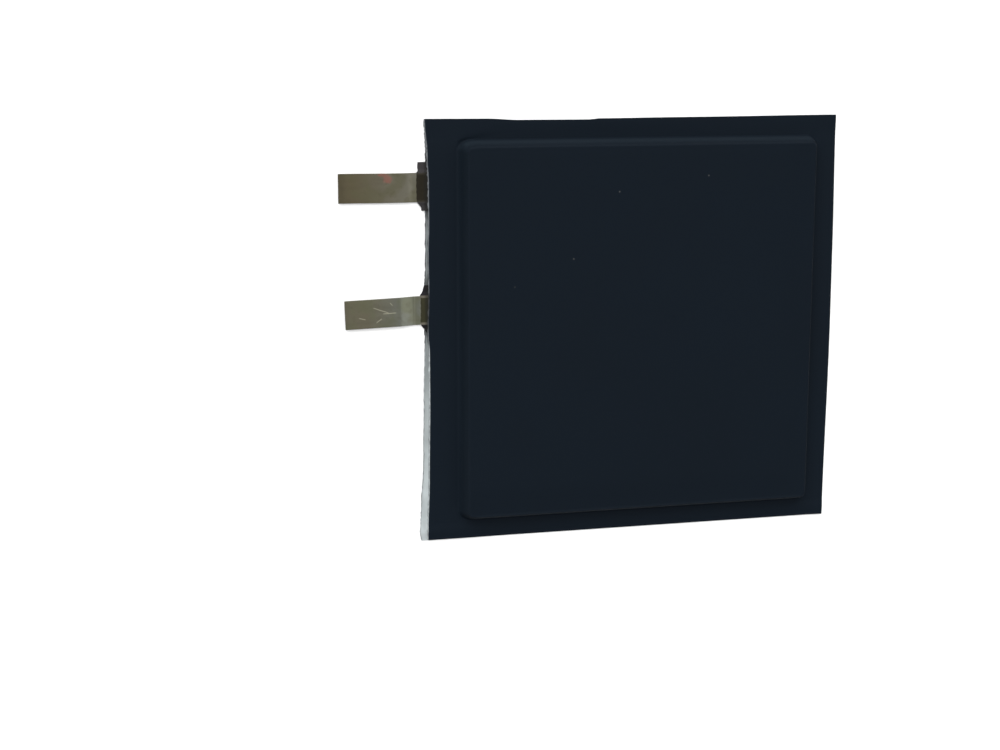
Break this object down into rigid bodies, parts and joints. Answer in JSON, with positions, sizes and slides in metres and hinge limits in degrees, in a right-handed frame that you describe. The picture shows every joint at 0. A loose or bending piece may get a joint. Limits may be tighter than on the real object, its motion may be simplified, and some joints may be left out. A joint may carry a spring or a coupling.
{
  "type": "pouch battery cell",
  "caption": "Flat rectangular pouch battery cell: cup-formed laminate pouch with sealed flanges, two strip tabs on one edge and a folded electrode stack inside.",
  "frame": {"origin": "centre of the 75 x 74 mm pouch on its back face, the face that the cell lies on", "axes": "+Z out of the cup's plateau, -X towards the tabs, +Y from the negative tab towards the positive tab"},
  "size_m": [0.0903, 0.074, 0.0035],
  "materials": {
    "black_laminate": "satin blue-black nylon face of an aluminium laminate film",
    "back_laminate": "aluminium laminate film, silvery inner face and satin blue-black outer face",
    "positive_tab_metal": "dull rolled strip, warm grey",
    "negative_tab_metal": "dull rolled nickel strip, warm grey",
    "sealant": "dark brown translucent polypropylene tab film",
    "cathode": "black calendered oxide coating on aluminium foil with a bare foil tail",
    "anode": "dark grey calendered graphite coating on copper foil with a bare foil tail",
    "separator": "white microporous polyolefin film",
    "stack_tape": "green polyester tape",
    "weld_tape": "amber polyimide tape"
  },
  "bodies": {
    "root": {"front_film": "black_laminate", "back_film": "back_laminate", "positive_tab": "positive_tab_metal", "negative_tab": "negative_tab_metal", "positive_sealant_front": "sealant", "positive_sealant_back": "sealant", "negative_sealant_front": "sealant", "negative_sealant_back": "sealant", "cathode_1": "cathode", "cathode_2": "cathode", "cathode_3": "cathode", "cathode_4": "cathode", "cathode_5": "cathode", "cathode_6": "cathode", "cathode_7": "cathode", "cathode_8": "cathode", "anode_1": "anode", "anode_2": "anode", "anode_3": "anode", "anode_4": "anode", "anode_5": "anode", "anode_6": "anode", "anode_7": "anode", "anode_8": "anode", "anode_9": "anode", "separator": "separator", "separator_end_tape": "stack_tape", "stack_tape_1": "stack_tape", "stack_tape_2": "stack_tape", "stack_tape_3": "stack_tape", "stack_tape_4": "stack_tape", "positive_weld_tape_front": "weld_tape", "positive_weld_tape_back": "weld_tape", "negative_weld_tape_front": "weld_tape", "negative_weld_tape_back": "weld_tape"}
  },
  "joints": []
}
